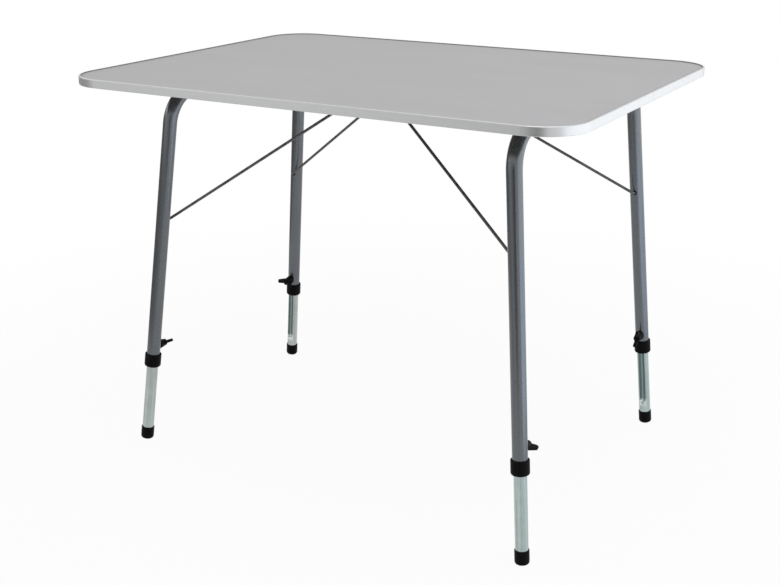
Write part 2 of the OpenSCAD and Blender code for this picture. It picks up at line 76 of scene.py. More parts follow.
class Row(Enum):
    """The two rows of legs, by the sign of Y."""

    FRONT = -1
    REAR = 1

    @property
    def word(self) -> str:
        """The row as it stands in the names of pieces."""
        return self.name.lower()


class Socket:
    """A node's output in an expression; each operator adds the Math node that it needs."""

    def __init__(self, nodes: "Nodes", out: bpy.types.NodeSocket) -> None:
        """Keeps the output and the tree that it belongs to.

        Args:
            nodes: the tree that gets the Math nodes.
            out: the output that stands in the expression.
        """
        self.nodes = nodes
        self.out = out

    def _math(self, operation: str, a: object, b: object) -> "Socket":
        """Adds one Math node.

        Args:
            operation: the Math node's operation.
            a: first value or socket.
            b: second value or socket.

        Returns:
            The node's result.
        """
        return self.nodes.node("ShaderNodeMath", {"operation": operation}, {0: a, 1: b})

    def __add__(self, other: object) -> "Socket":
        """The sum."""
        return self._math("ADD", self, other)

    def __radd__(self, other: object) -> "Socket":
        """The sum, with the number first."""
        return self._math("ADD", other, self)

    def __sub__(self, other: object) -> "Socket":
        """The difference."""
        return self._math("SUBTRACT", self, other)

    def __rsub__(self, other: object) -> "Socket":
        """The difference, with the number first."""
        return self._math("SUBTRACT", other, self)

    def __mul__(self, other: object) -> "Socket":
        """The product."""
        return self._math("MULTIPLY", self, other)

    def __pow__(self, other: object) -> "Socket":
        """The power."""
        return self._math("POWER", self, other)

    def __abs__(self) -> "Socket":
        """The value without its sign."""
        return self._math("ABSOLUTE", self, 0.0)

    def most(self, other: object) -> "Socket":
        """The larger of two values."""
        return self._math("MAXIMUM", self, other)

    def least(self, other: object) -> "Socket":
        """The smaller of two values."""
        return self._math("MINIMUM", self, other)

    def clamp(self) -> "Socket":
        """The value kept between 0 and 1."""
        return self.most(0.0).least(1.0)


class Nodes:
    """The node tree of a material or of the world."""

    def __init__(self, tree: bpy.types.NodeTree) -> None:
        """Keeps the tree.

        Args:
            tree: the tree that gets the nodes.
        """
        self.tree = tree

    def node(self, kind: str, settings: dict, inputs: dict, out: object = 0) -> Socket:
        """Adds any node.

        Args:
            kind: the node's type.
            settings: its properties, set first.
            inputs: values or sockets for its inputs, by name or number.
            out: the name or number of the output that is wanted.

        Returns:
            That output, ready for an expression.
        """
        made = self.tree.nodes.new(kind)
        for key, value in settings.items():
            setattr(made, key, value)
        for key, value in inputs.items():
            if isinstance(value, Socket):
                self.tree.links.new(value.out, made.inputs[key])
            else:
                made.inputs[key].default_value = value
        return Socket(self, made.outputs[out])

    def vector(self, operation: str, inputs: dict, out: object = 0) -> Socket:
        """Adds one Vector Math node.

        Args:
            operation: the node's operation.
            inputs: values or sockets for its inputs, by name or number.
            out: the name or number of the output that is wanted.

        Returns:
            The node's result.
        """
        return self.node("ShaderNodeVectorMath", {"operation": operation}, inputs, out)

    def seen(self) -> Socket:
        """A mask of the rays that should meet the plain background.

        Returns:
            A value of 1 for camera, glossy and transmission rays, and of 0 for the others.
        """
        camera = self.node("ShaderNodeLightPath", {}, {}, "Is Camera Ray")
        rays = camera.out.node.outputs
        glossy = Socket(self, rays["Is Glossy Ray"])
        return camera.most(glossy).most(Socket(self, rays["Is Transmission Ray"]))


@dataclass(frozen=True)
class Layer:
    """One layer of noise in a finish, and how much it counts.

    Without a rise it swings around 0. With one it climbs smoothly between two ends.

    Attributes:
        scale: waves in a metre, or in a unit of the stretched point.
        detail: octaves.
        fine: how strong the finer octaves are.
        waves: factors that stretch the point along X, Y and Z first.
        rise: the noise's values between which the layer climbs.
        to: the two ends of that climb.
        tone: its share in the colour.
        rough: its share in the roughness.
    """

    scale: float = 1.0
    detail: float = 2.0
    fine: float = 0.5
    waves: Triple | None = None
    rise: Pair | None = None
    to: Pair = (0.0, 1.0)
    tone: float = 0.0
    rough: float = 0.0


class Painter(Nodes):
    """One material's node tree, around one Principled shader."""

    def __init__(self, name: str, look: dict[str, object]) -> None:
        """Makes the material and sets the constants of its shader.

        Args:
            name: the material's name.
            look: values of the Principled shader's sockets that are the same all over.
        """
        self.material = bpy.data.materials.new(name)
        self.material.use_nodes = True
        super().__init__(self.material.node_tree)
        self.shader = self.tree.nodes["Principled BSDF"]
        for socket, value in look.items():
            self.shader.inputs[socket].default_value = value

    def place(self) -> Socket:
        """The point in the table's own frame."""
        return self.node("ShaderNodeTexCoord", {}, {}, "Object")

    def axes(self, at: Socket | None = None) -> tuple[Socket, Socket, Socket]:
        """The three coordinates of a point.

        Args:
            at: the point, if it isn't the plain one.

        Returns:
            Its X, Y and Z.
        """
        made = self.node("ShaderNodeSeparateXYZ", {}, {0: at or self.place()}).out.node
        return tuple(Socket(self, made.outputs[i]) for i in range(3))

    def in_frame(self, local: Matrix) -> Socket:
        """The point in a piece's own frame.

        Args:
            local: the piece's frame in the table's frame.

        Returns:
            The point, moved and turned into that frame.
        """
        turn = local.to_euler("XYZ")
        inputs = {"Vector": self.place(), "Location": local.translation, "Rotation": turn}
        return self.node("ShaderNodeMapping", {"vector_type": "TEXTURE"}, inputs)

    def layer(self, kind: Layer, at: Socket | None = None) -> Socket:
        """Adds one layer of noise.

        Args:
            kind: what the layer is like.
            at: the point, if it isn't the plain one.

        Returns:
            The layer's value.
        """
        at = at or self.place()
        if kind.waves:
            at = self.vector("MULTIPLY", {0: at, 1: kind.waves})
        inputs = {"Vector": at, "Scale": kind.scale, "Detail": kind.detail, "Roughness": kind.fine}
        value = self.node("ShaderNodeTexNoise", {}, inputs)
        return self.step(value, kind.rise, to=kind.to) if kind.rise else value - 0.5

    def step(self, value: Socket, reach: Pair, start: float = 0.0, to: Pair = (0.0, 1.0)) -> Socket:
        """A smooth rise between two values.

        Args:
            value: what is compared.
            reach: where the rise begins and where it ends, counted from the start.
            start: the value that the reach is counted from.
            to: the result below and above.

        Returns:
            The risen value.
        """
        return self.node(
            "ShaderNodeMapRange", {"interpolation_type": "SMOOTHSTEP"},
            {
                "Value": value, "From Min": start + reach[0], "From Max": start + reach[1],
                "To Min": to[0], "To Max": to[1],
            },
        )

    def fall(self, value: Socket, reach: Pair, start: float = 0.0) -> Socket:
        """A smooth fall from 1 to 0.

        Args:
            value: what is compared.
            reach: where the fall begins and where it ends, counted from the start.
            start: the value that the reach is counted from.

        Returns:
            The fallen value.
        """
        return self.step(value, reach, start, (1.0, 0.0))

    def blend(self, share: Socket, a: object, b: object) -> Socket:
        """A mix of two colours.

        Args:
            share: how much of the second colour.
            a: first colour.
            b: second colour.

        Returns:
            The mixed colour.
        """
        first, second = (ink if isinstance(ink, Socket) else rgba(ink) for ink in (a, b))
        return self.node("ShaderNodeMix", {"data_type": "RGBA"}, {0: share, 6: first, 7: second}, 2)

    def scale(self, colour: Triple, level: Socket) -> Socket:
        """A colour times a level.

        Args:
            colour: the colour at a level of 1.
            level: the factor.

        Returns:
            The scaled colour.
        """
        return self.vector("SCALE", {0: colour, "Scale": level})

    def feed(self, socket: str, value: Socket) -> None:
        """Links a varying value to the shader.

        Args:
            socket: the shader's input.
            value: what feeds it.
        """
        self.tree.links.new(value.out, self.shader.inputs[socket])

    def bump(self, height: Socket, relief: Pair, under: Socket | None = None) -> Socket:
        """A bump from a height.

        Args:
            height: the height, which swings by about 1.
            relief: what a height of 1 is in metres, and the share of the effect.
            under: a bump that lies under this one.

        Returns:
            The bent normal.
        """
        inputs = {"Height": height, "Distance": relief[0], "Strength": relief[1]}
        if under is not None:
            inputs["Normal"] = under
        return self.node("ShaderNodeBump", {}, inputs)

    def surface(self, shader: Socket) -> None:
        """Puts another shader in place of the Principled one.

        Args:
            shader: the shader's output.
        """
        self.tree.links.new(shader.out, self.tree.nodes["Material Output"].inputs["Surface"])


def rgba(colour: Triple) -> tuple[float, float, float, float]:
    """The colour with full alpha."""
    return (*colour, 1.0)


@dataclass(frozen=True)
class TopOutline:
    """The rounded rectangle of the top, and the levels of its pieces."""

    half_x: float = 0.4
    half_y: float = 0.3
    corner: float = 0.065
    lip: float = 0.0028
    board_z: float = 0.6117
    under_z: float = 0.6017

    def inward(self, paint: Painter) -> Socket:
        """The distance inwards from the outline.

        How far the point lies past the corner's centre along X and along Y gives the distance
        from that centre where both are positive, and otherwise the larger of the two counts.
        The corner's radius less that distance is what remains to the outline.

        Args:
            paint: the painter of the material that needs it.

        Returns:
            The distance in metres.
        """
        x, y, _ = paint.axes()
        over_x = abs(x) - (self.half_x - self.corner)
        over_y = abs(y) - (self.half_y - self.corner)
        past_x, past_y = over_x.most(0.0), over_y.most(0.0)
        away = (past_x * past_x + past_y * past_y) ** 0.5
        return self.corner - away - over_x.most(over_y).least(0.0)


@dataclass(frozen=True)
class Laminate:
    """Satin grey laminate with a fine pearl grain, over a dull backing sheet."""

    colour: Triple = (0.408, 0.405, 0.415)
    backing: Triple = (0.300, 0.285, 0.262)
    ior: float = 1.5
    shine: float = 0.2
    roughness: float = 0.42
    cloud: Layer = Layer(7.0, 3.0, tone=0.05)
    grain: Layer = Layer(700.0, 2.0, 0.6, tone=0.06, rough=0.06)
    fleck: Layer = Layer(1190.0, 1.0, rise=(0.62, 0.75), tone=0.03)
    # Painted shade along the lip, broken into patches, which also adds roughness; and how far it
    # reaches from the lip.
    dust: Layer = Layer(60.0, 3.0, rise=(0.25, 0.6), to=(0.6, 1.0), tone=0.14, rough=0.2)
    dust_reach: Pair = (0.001, 0.0065)
    smear: Layer = Layer(1.0, 3.0, 0.6, waves=(5.0, 14.0, 5.0), rough=0.12)
    fibres: Layer = Layer(1.0, 4.0, 0.65, waves=(60.0, 420.0, 60.0), tone=0.25)
    backing_cloud: float = 0.15
    backing_rough: float = 0.2
    backing_reach: Pair = (0.0004, 0.0006)
    relief: Pair = (0.00012, 0.3)
    outline: TopOutline = TopOutline()

    def material(self) -> bpy.types.Material:
        """Makes the laminate: pale and dark grains under soft clouds, painted shade along the lip
        in rougher patches, and a brownish backing sheet with coarser fibres on the under side."""
        paint = Painter("grey_laminate", {"IOR": self.ior, "Specular IOR Level": self.shine})
        cloud, grain, fleck = (paint.layer(each) for each in (self.cloud, self.grain, self.fleck))
        # Painted shade along the lip, broken into patches by noise.
        dust = paint.fall(self.outline.inward(paint), self.dust_reach, self.outline.lip)
        dust = dust * paint.layer(self.dust)
        level = 1.0 + cloud * self.cloud.tone + grain * self.grain.tone + fleck * self.fleck.tone
        shade = paint.scale(self.colour, level - dust * self.dust.tone)
        fibres = paint.layer(self.fibres) * self.fibres.tone
        under = paint.scale(self.backing, 1.0 + fibres + cloud * self.backing_cloud)
        _, _, z = paint.axes()
        below = paint.fall(z, self.backing_reach, self.outline.under_z)
        paint.feed("Base Color", paint.blend(below, shade, under))
        rough = self.roughness + paint.layer(self.smear) * self.smear.rough
        rough = rough + grain * self.grain.rough + dust * self.dust.rough
        paint.feed("Roughness", rough + below * self.backing_rough)
        paint.feed("Normal", paint.bump(grain, self.relief))
        return paint.material


@dataclass(frozen=True)
class EdgeAluminium:
    """Satin aluminium, drawn along the edge strip."""

    colour: Triple = (0.56, 0.565, 0.57)
    metallic: float = 0.85
    roughness: float = 0.33
    lines: Layer = Layer(1.0, 3.0, 0.6, waves=(4.0, 4.0, 3500.0), tone=0.16, rough=0.16)
    bands: Layer = Layer(waves=(1.2, 1.2, 420.0), tone=0.08)
    cloud: Layer = Layer(9.0, tone=0.05, rough=0.08)
    nicks: Layer = Layer(90.0, 4.0, 0.7, rise=(0.55, 0.7), tone=0.12, rough=0.1)
    edge_middle: float = 0.0009
    edge_reach: Pair = (0.0, 0.0005)
    upper_reach: Pair = (-0.0001, 0.0001)
    # Painted shade on the lip's inner face: where it starts, how dark it is, and the roughness it
    # adds.
    inner_reach: Pair = (-0.00012, -0.00004)
    inner_tone: float = 0.6
    inner_rough: float = 0.3
    relief: Pair = (0.00004, 0.4)
    outline: TopOutline = TopOutline()

    def material(self) -> bpy.types.Material:
        """Makes the strip's metal: fine level lines that fade in and out along the strip, painted
        shade on the rougher inner face of the lip, and a rubbed upper edge."""
        paint = Painter("drawn_aluminium", {"Metallic": self.metallic})
        lines, bands, cloud = (paint.layer(each) for each in (self.lines, self.bands, self.cloud))
        inward = self.outline.inward(paint)
        _, _, z = paint.axes()
        up = paint.step(z, self.upper_reach, self.outline.board_z)
        # Painted shade on the lip's inner face, above the board.
        inner = paint.step(inward, self.inner_reach, self.outline.lip) * up
        edge = paint.fall(abs(inward - self.edge_middle), self.edge_reach) * up
        nicks = edge * paint.layer(self.nicks)
        level = 1.0 + lines * self.lines.tone + cloud * self.cloud.tone + bands * self.bands.tone
        level = level - inner * self.inner_tone + nicks * self.nicks.tone
        paint.feed("Base Color", paint.scale(self.colour, level))
        rough = self.roughness + lines * self.lines.rough + cloud * self.cloud.rough
        paint.feed("Roughness", rough + inner * self.inner_rough - nicks * self.nicks.rough)
        paint.feed("Normal", paint.bump(lines, self.relief))
        return paint.material


@dataclass(frozen=True)
class FramePaint:
    """Blue-grey metallic paint of the bent tubes."""

    colour: Triple = (0.128, 0.137, 0.147)
    flake: Triple = (0.28, 0.30, 0.32)
    chip: Triple = (0.03, 0.031, 0.033)
    ior: float = 1.45
    shine: float = 0.3
    metallic: float = 0.8
    roughness: float = 0.27
    flakes: Layer = Layer(5200.0, 0.0, rise=(0.56, 0.78), tone=0.4, rough=0.05)
    flake_metal: float = 0.3
    cloud: Layer = Layer(16.0, 3.0, tone=0.2, rough=0.12)
    chips: Layer = Layer(160.0, 3.0, 0.55, rise=(0.735, 0.75), rough=0.3)
    chip_relief: Pair = (0.00008, 0.5)
    peel: Layer = Layer(650.0)
    peel_relief: Pair = (0.00006, 0.25)

    def material(self) -> bpy.types.Material:
        """Makes the paint: bright flakes in a darker base, a faint orange peel, and chips
        that are few and small."""
        paint = Painter("blue_grey_paint", {"IOR": self.ior, "Specular IOR Level": self.shine})
        flakes, cloud, chips = (paint.layer(each) for each in (self.flakes, self.cloud, self.chips))
        share = (flakes * self.flakes.tone + cloud * self.cloud.tone).clamp()
        base = paint.blend(share, self.colour, self.flake)
        paint.feed("Base Color", paint.blend(chips, base, self.chip))
        paint.feed("Metallic", self.metallic + flakes * self.flake_metal - chips * self.metallic)
        rough = self.roughness + cloud * self.cloud.rough - flakes * self.flakes.rough
        paint.feed("Roughness", rough + chips * self.chips.rough)
        peel = paint.bump(paint.layer(self.peel), self.peel_relief)
        paint.feed("Normal", paint.bump(1.0 - chips, self.chip_relief, peel))
        return paint.material


@dataclass(frozen=True)
class Zinc:
    """Zinc-plated steel with draw lines over cloudy patches of duller zinc."""

    name: str = "zinc_sheet"
    colour: Triple = (0.52, 0.53, 0.54)
    dull: Triple = (0.38, 0.39, 0.40)
    dull_least: float = 0.1
    metallic: float = 0.85
    roughness: float = 0.34
    lines: Layer = Layer(60.0, 3.0, 0.6, tone=0.5, rough=0.14)
    cloud: Layer = Layer(55.0, 4.0, 0.6, rise=(0.35, 0.7), tone=0.55, rough=0.08)
    fine: Layer = Layer(420.0, 3.0, 0.65, rough=0.08)
    relief: Pair = (0.00005, 0.35)

    def material(self) -> bpy.types.Material:
        """Makes the plating."""
        paint = Painter(self.name, {"Metallic": self.metallic})
        lines, cloud, fine = (paint.layer(each) for each in (self.lines, self.cloud, self.fine))
        share = (cloud * self.cloud.tone + lines * self.lines.tone + self.dull_least).clamp()
        paint.feed("Base Color", paint.blend(share, self.colour, self.dull))
        rough = self.roughness + cloud * self.cloud.rough + lines * self.lines.rough
        paint.feed("Roughness", rough + fine * self.fine.rough)
        paint.feed("Normal", paint.bump(lines, self.relief))
        return paint.material


@dataclass(frozen=True)
class GrooveMark:
    """How far a mark spreads around the groove of an inner leg.

    Attributes:
        wall: where it fades sideways, counted from the groove's radius.
        low, high: where it appears and fades up the leg, counted from the groove's ends.
    """

    wall: Pair
    low: Pair
    high: Pair


@dataclass(frozen=True)
class GroovedZinc:
    """Greenish zinc plating of an inner leg, in the leg's own frame."""

    green: Triple = (0.455, 0.545, 0.53)
    grey: Triple = (0.50, 0.53, 0.505)
    tint: float = 1.0
    dull: float = 0.58
    dull_least: float = 0.3
    # The colour of the painted shade in and beside the groove.
    shade: Triple = (0.06, 0.10, 0.10)
    # The colour of the painted highlight just below the groove's lower end.
    bright: Triple = (0.70, 0.72, 0.72)
    dirt: Triple = (0.10, 0.10, 0.09)
    metallic: float = 0.9
    roughness: float = 0.27
    streaks: Layer = Layer(330.0, 3.0, 0.6, waves=(1.0, 1.0, 0.012), tone=2.2, rough=0.2)
    hairs: Layer = Layer(2100.0, 2.0, 0.6, waves=(1.0, 1.0, 0.012), rough=0.12)
    cloud: Layer = Layer(48.0, 4.0, 0.6, rise=(0.35, 0.7), tone=0.15, rough=0.08)
    streak_height: float = 0.4
    hair_height: float = 0.6
    relief: Pair = (0.00006, 0.4)
    groove_r: float = 0.008
    groove_y: float = 0.01465
    groove_low: float = -0.122
    groove_high: float = 0.0875
    # How far the painted shade in the groove spreads, how dark it is, and its roughness.
    inside: GrooveMark = GrooveMark((0.00015, 0.0006), (-0.006, 0.002), (-0.001, 0.006))
    inside_tone: float = 0.8
    inside_rough: float = 0.06
    track_half: Pair = (0.0003, 0.0011)
    track_hairs: Pair = (-0.12, 0.1)
    track_tone: float = 0.75
    track_rough: float = 0.08
    # How far the painted shade on the shoulders beside the groove spreads, how dark it is, and how
    # much the streaks add.
    shoulder: GrooveMark = GrooveMark((0.001, 0.0045), (-0.006, 0.004), (0.0, 0.006))
    shoulder_tone: float = 0.42
    shoulder_streaks: float = 2.5
    # Where the painted highlight below the groove's end lies, how wide it is, and its patches.
    end_below: float = 0.004
    end_half: Pair = (0.002, 0.009)
    end_wall: Pair = (0.0005, 0.003)
    end_patches: Layer = Layer(200.0, rise=(0.36, 0.6))
    foot_reach: Pair = (-0.118, -0.08)
    foot_spots: Layer = Layer(300.0, 3.0, 0.6, rise=(0.66, 0.72), tone=0.5, rough=0.3)

    def _mask(self, paint: Painter, near: Socket, z: Socket, mark: GrooveMark) -> Socket:
        """A mask of a mark that follows the groove.

        Args:
            paint: the painter of the material.
            near: the distance from the groove's axis.
            z: the height above the clamp.
            mark: how far the mark spreads.

        Returns:
            A value from 0 to 1.
        """
        mask = paint.fall(near, mark.wall, self.groove_r)
        mask = mask * paint.step(z, mark.low, self.groove_low)
        return mask * paint.fall(z, mark.high, self.groove_high)

    def material(self, name: str, local: Matrix) -> bpy.types.Material:
        """Makes the plating: streaks along the leg, painted shade in the groove with the bright
        scratch of the clamp screw's tip, painted shade on the shoulders beside it, a painted
        highlight at the groove's lower end, and spots near the foot.

        Args:
            name: the material's name.
            local: the leg's frame at the clamp, with Z up the leg and Y out of the groove.

        Returns:
            The material.
        """
        paint = Painter(name, {"Metallic": self.metallic})
        at = paint.in_frame(local)
        x, y, z = paint.axes(at)
        streaks, hairs = paint.layer(self.streaks, at), paint.layer(self.hairs, at)
        cloud = paint.layer(self.cloud)
        off = y - self.groove_y
        near = (x * x + off * off) ** 0.5
        # Painted shade inside the groove; the scratch's track lifts it again.
        inside = self._mask(paint, near, z, self.inside)
        track = inside * paint.fall(abs(x), self.track_half) * paint.step(hairs, self.track_hairs)
        # Painted shade on the shoulders beside the groove.
        edge = self._mask(paint, near, z, self.shoulder)
        # Painted highlight in patches just below the groove's lower end.
        end = paint.fall(abs(z - (self.groove_low - self.end_below)), self.end_half)
        end = end * paint.fall(near, self.end_wall, self.groove_r) * paint.layer(self.end_patches)
        foot = paint.fall(z, self.foot_reach) * paint.layer(self.foot_spots)
        clean = tuple(a + (b - a) * self.tint for a, b in zip(self.grey, self.green))
        worn = tuple(value * self.dull for value in clean)
        share = cloud * self.cloud.tone + streaks * self.streaks.tone + self.dull_least
        base = paint.blend(share.clamp(), clean, worn)
        # Blend in the painted shade on the shoulders, streaked, then in the groove, then lift it
        # along the scratch.
        share = edge * (self.shoulder_tone + streaks * self.shoulder_streaks)
        base = paint.blend(share.clamp(), base, self.shade)
        base = paint.blend(inside * self.inside_tone, base, self.shade)
        base = paint.blend(track * self.track_tone, base, clean)
        # Blend in the painted highlight.
        base = paint.blend(end, base, self.bright)
        paint.feed("Base Color", paint.blend(foot * self.foot_spots.tone, base, self.dirt))
        rough = self.roughness + cloud * self.cloud.rough + streaks * self.streaks.rough
        rough = rough + hairs * self.hairs.rough + foot * self.foot_spots.rough
        paint.feed("Roughness", rough + inside * self.inside_rough - track * self.track_rough)
        height = streaks * self.streak_height + hairs * self.hair_height
        paint.feed("Normal", paint.bump(height, self.relief))
        return paint.material


@dataclass(frozen=True)
class BlackPlastic:
    """Black moulded plastic with a fine spark-eroded skin."""

    colour: Triple = (0.003, 0.003, 0.0034)
    worn: Triple = (0.010, 0.010, 0.011)
    ior: float = 1.45
    shine: float = 0.06
    roughness: float = 0.5
    rub: Layer = Layer(70.0, 4.0, 0.65, rise=(0.45, 0.75), tone=0.8, rough=0.1)
    scuff: Layer = Layer(
        1.0, 3.0, 0.6, waves=(900.0, 900.0, 160.0), rise=(0.62, 0.72), tone=0.5, rough=0.08,
    )
    pores: Layer = Layer(1500.0, 2.0, 0.6, rough=0.1)
    relief: Pair = (0.00005, 0.4)

    def material(self) -> bpy.types.Material:
        """Makes the plastic: near black, a little greyer where it is rubbed."""
        paint = Painter("black_plastic", {"IOR": self.ior, "Specular IOR Level": self.shine})
        rub, scuff, pores = (paint.layer(each) for each in (self.rub, self.scuff, self.pores))
        share = (rub * self.rub.tone + scuff * self.scuff.tone).clamp()
        paint.feed("Base Color", paint.blend(share, self.colour, self.worn))
        rough = self.roughness + rub * self.rub.rough + pores * self.pores.rough
        paint.feed("Roughness", rough - scuff * self.scuff.rough)
        paint.feed("Normal", paint.bump(pores, self.relief))
        return paint.material


@dataclass(frozen=True)
class Wire:
    """Dark plated wire of the stays."""

    colour: Triple = (0.105, 0.105, 0.107)
    dark: Triple = (0.05, 0.05, 0.051)
    metallic: float = 0.7
    roughness: float = 0.4
    patch: Layer = Layer(110.0, 4.0, 0.6, rise=(0.4, 0.7), tone=0.8, rough=0.1)
    pits: Layer = Layer(900.0, rough=0.12)
    relief: Pair = (0.00004, 0.35)

    def material(self) -> bpy.types.Material:
        """Makes the plating: dark patches and fine pits."""
        paint = Painter("stay_wire", {"Metallic": self.metallic})
        patch, pits = paint.layer(self.patch), paint.layer(self.pits)
        paint.feed("Base Color", paint.blend(patch * self.patch.tone, self.colour, self.dark))
        rough = self.roughness + patch * self.patch.rough + pits * self.pits.rough
        paint.feed("Roughness", rough)
        paint.feed("Normal", paint.bump(pits, self.relief))
        return paint.material


class Finishes:
    """The materials, each made once."""

    def __init__(self) -> None:
        """Makes every material."""
        self.laminate = Laminate().material()
        self.aluminium = EdgeAluminium().material()
        self.paint = FramePaint().material()
        self.plastic = BlackPlastic().material()
        self.wire = Wire().material()
        self.sheet = Zinc().material()
        self.screw = Zinc(
            name="bright_screws", colour=(0.60, 0.60, 0.61), dull=(0.45, 0.45, 0.46),
            roughness=0.26, lines=Layer(400.0, 3.0, 0.6, tone=0.5, rough=0.14),
        ).material()


def dress(node: str, material: bpy.types.Material, round_by: float = 0.0) -> None:
    """Gives a CAD node its material, and rounds its sharp edges where asked.

    Args:
        node: the node's name.
        material: the material for all of it.
        round_by: the width of the rounding, or 0 for none.
    """
    piece = frame["nodes"][node]
    slots = piece.data.materials
    slots.clear()
    slots.append(material)
    if round_by:
        weld = piece.modifiers.new("weld", "WELD")
        weld.merge_threshold = WELD_GAP
        bevel = piece.modifiers.new("rounding", "BEVEL")
        bevel.width = round_by
        bevel.segments = BEVEL_SEGMENTS
        bevel.limit_method = "ANGLE"
        bevel.angle_limit = math.radians(SHARP_ANGLE)
    LOG.info("%s wears %s", node, material.name)


def skin(name: str, shells: list[np.ndarray], looped: bool = False) -> bpy.types.Object:
    """Makes one smooth mesh of closed skins, with its faces turned outwards.

    Corner (i, j) of a skin is point j of its ring i. Quads join neighbouring rings, with j
    running round. One face closes each end ring, or the last ring joins the first.

    Args:
        name: the object's name.
        shells: for each skin, an array of rings by points by coordinates, each ring running
            the same way round and the rings following one another.
        looped: whether the last ring joins the first.

    Returns:
        The new object, at the origin.
    """
    corners, faces, first = [], [], 0
    for shell in shells:
        rings, around, _ = shell.shape
        ids = first + np.arange(rings * around).reshape(rings, around)
        after = np.roll(ids, -1, axis=1)
        if looped:
            quads = np.stack([ids, np.roll(ids, -1, 0), np.roll(after, -1, 0), after], -1)
            faces += quads.reshape(-1, 4).tolist()
        else:
            quads = np.stack([ids[:-1], ids[1:], after[1:], after[:-1]], -1)
            faces += quads.reshape(-1, 4).tolist() + [ids[0].tolist(), ids[-1][::-1].tolist()]
        corners.append(shell.reshape(-1, 3))
        first += rings * around
    mesh = bpy.data.meshes.new(name)
    mesh.from_pydata(np.concatenate(corners).tolist(), [], faces)
    mesh.shade_smooth()
    mesh.set_sharp_from_angle(angle=math.radians(SHARP_ANGLE))
    mesh.validate()
    edit = bmesh.new()
    edit.from_mesh(mesh)
    bmesh.ops.recalc_face_normals(edit, faces=edit.faces)
    edit.to_mesh(mesh)
    edit.free()
    piece = bpy.data.objects.new(name, mesh)
    bpy.context.scene.collection.objects.link(piece)
    return piece


@dataclass(frozen=True)
class PanScrews:
    """Pan-head wood screws with a cross recess, in place of the plain ones of one node.

    Attributes:
        node: the CAD node whose screws they replace.
        head_r, head_h: the head's radius and height.
        dome_r: radius of the ball that the head is a cap of.
        shank_r: the shank's radius.
        arm_half, arm_reach: half the width and the reach of the recess's arms.
        soft: the width over which the recess's edge is rounded.
        depth, shallow: the recess's depth, and the least share of it that is left outwards.
        around, rings: the points of a ring, and the rings of a head.
        first_ring: the innermost ring's share of the head's radius.
    """

    node: str
    head_r: float = 0.0038
    head_h: float = 0.0020
    dome_r: float = 0.0052
    shank_r: float = 0.0020
    arm_half: float = 0.00045
    arm_reach: float = 0.0019
    soft: float = 0.00014
    depth: float = 0.0011
    shallow: float = 0.3
    around: int = 64
    rings: int = 26
    first_ring: float = 0.02

    def _places(self) -> list[tuple[float, float, float, float]]:
        """The screws of the node, from its corners sorted along X and along Y.

        A jump of more than a head's radius between sorted coordinates parts two groups.

        Returns:
            For each screw the middle in X and Y, and its lowest and highest Z.
        """
        mesh = frame["nodes"][self.node].data
        points = np.empty(len(mesh.vertices) * 3)
        mesh.vertices.foreach_get("co", points)
        groups = [points.reshape(-1, 3)]
        for axis in (0, 1):
            parts = []
            for group in groups:
                group = group[np.argsort(group[:, axis])]
                jumps = np.flatnonzero(np.diff(group[:, axis]) > self.head_r) + 1
                parts += np.split(group, jumps)
            groups = parts
        return [(*((g.min(0) + g.max(0)) / 2)[:2], g[:, 2].min(), g[:, 2].max()) for g in groups]

    def _rings(self, x: float, y: float, low: float, high: float) -> np.ndarray:
        """One screw's surface as rings around its axis.

        The head is a ball's cap, low + R - sqrt(R^2 - r^2), cut by its rim and deepened by the
        cross. The cross is the larger of two arms, each a smooth step across its half width
        times one along its reach, and grows shallower outwards. Then come the rim's wall, the
        head's flat back and the shank.

        Args:
            x, y: the axis's place.
            low: the head's lowest level.
            high: the shank's end.

        Returns:
            An array of rings by points by coordinates.
        """
        turn = np.linspace(0, 2 * np.pi, self.around, endpoint=False)[None, :]
        radius = np.linspace(self.first_ring, 1.0, self.rings)[:, None] * self.head_r
        across, along = radius * np.cos(turn), radius * np.sin(turn)

        def rise(gap: np.ndarray) -> np.ndarray:
            """Smooth step over the soft width of the recess's edge."""
            share = np.clip(gap / self.soft + 0.5, 0, 1)
            return share * share * (3 - 2 * share)

        arms = [
            rise(self.arm_half - np.abs(a)) * rise(self.arm_reach - np.abs(b))
            for a, b in ((across, along), (along, across))
        ]
        dome = self.dome_r - np.sqrt(self.dome_r**2 - radius**2)
        deep = self.depth * (1 - radius / (2 * self.arm_reach)).clip(self.shallow, 1)
        level = dome + deep * np.maximum(*arms)
        head = np.stack([across, along, level], -1)
        wide = np.array([self.head_r, self.shank_r, self.shank_r])[:, None]
        levels = np.array([self.head_h, self.head_h, high - low])[:, None].repeat(self.around, 1)
        shank = np.stack([wide * np.cos(turn), wide * np.sin(turn), levels], -1)
        return np.concatenate([head, shank]) + np.array([x, y, low])

    def build(self, looks: Finishes) -> None:
        """Makes the node's screws as one piece.

        Args:
            looks: the materials.
        """
        shells = [self._rings(*place) for place in self._places()]
        piece = skin(f"{self.node}_recessed", shells)
        piece.data.materials.append(looks.screw)
        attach(piece, "top")
        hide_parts(self.node)
        LOG.info("%s: %d screws in %s", piece.name, len(shells), looks.screw.name)


@dataclass
class TableTop:
    """Board, edge strip and what is screwed under the board."""

    screws: tuple[str, ...] = ("catch_screws", "strap_screws")
    sheet_round: float = 0.0003
    saddle_round: float = 0.0008

    def build(self, looks: Finishes) -> None:
        """Dresses the top's pieces.

        Args:
            looks: the materials.
        """
        dress("table_board", looks.laminate)
        dress("edge_strip", looks.aluminium)
        dress("strip_pin", looks.screw)
        dress("stay_catch", looks.sheet, self.sheet_round)
        for node in self.screws:
            PanScrews(node).build(looks)
        for side in Side:
            for row in Row:
                place = f"{side.word}_{row.word}"
                dress(f"saddle_{place}", looks.plastic, self.saddle_round)
                dress(f"strap_{place}", looks.sheet, self.sheet_round)


